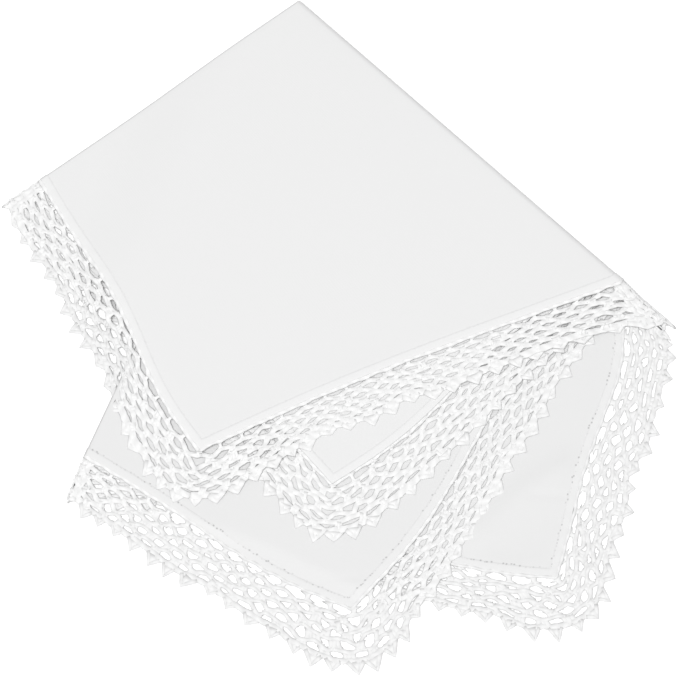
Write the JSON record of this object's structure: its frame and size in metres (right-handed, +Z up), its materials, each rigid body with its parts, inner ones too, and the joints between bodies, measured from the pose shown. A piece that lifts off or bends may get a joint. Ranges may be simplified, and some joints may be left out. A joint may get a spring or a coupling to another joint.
{
  "type": "lace handkerchief",
  "caption": "Square white cotton handkerchief with a crochet net and picot edging, folded in four and lying flat with its corners fanned out",
  "frame": {"origin": "on the table, under the flat underside of the lowest layer of the folded cloth", "axes": "+Z up from the table, +X along the picture's right, +Y away from the viewer of the picture, towards the corner where both folds meet"},
  "size_m": [0.2125, 0.2253, 0.0049],
  "materials": {
    "cotton_square": "plain fine white cotton lawn, matte",
    "lace_edging": "white crochet cotton thread, matte"
  },
  "bodies": {
    "root": {"cotton_square": "cotton_square", "lace_edging": "lace_edging"}
  },
  "joints": []
}
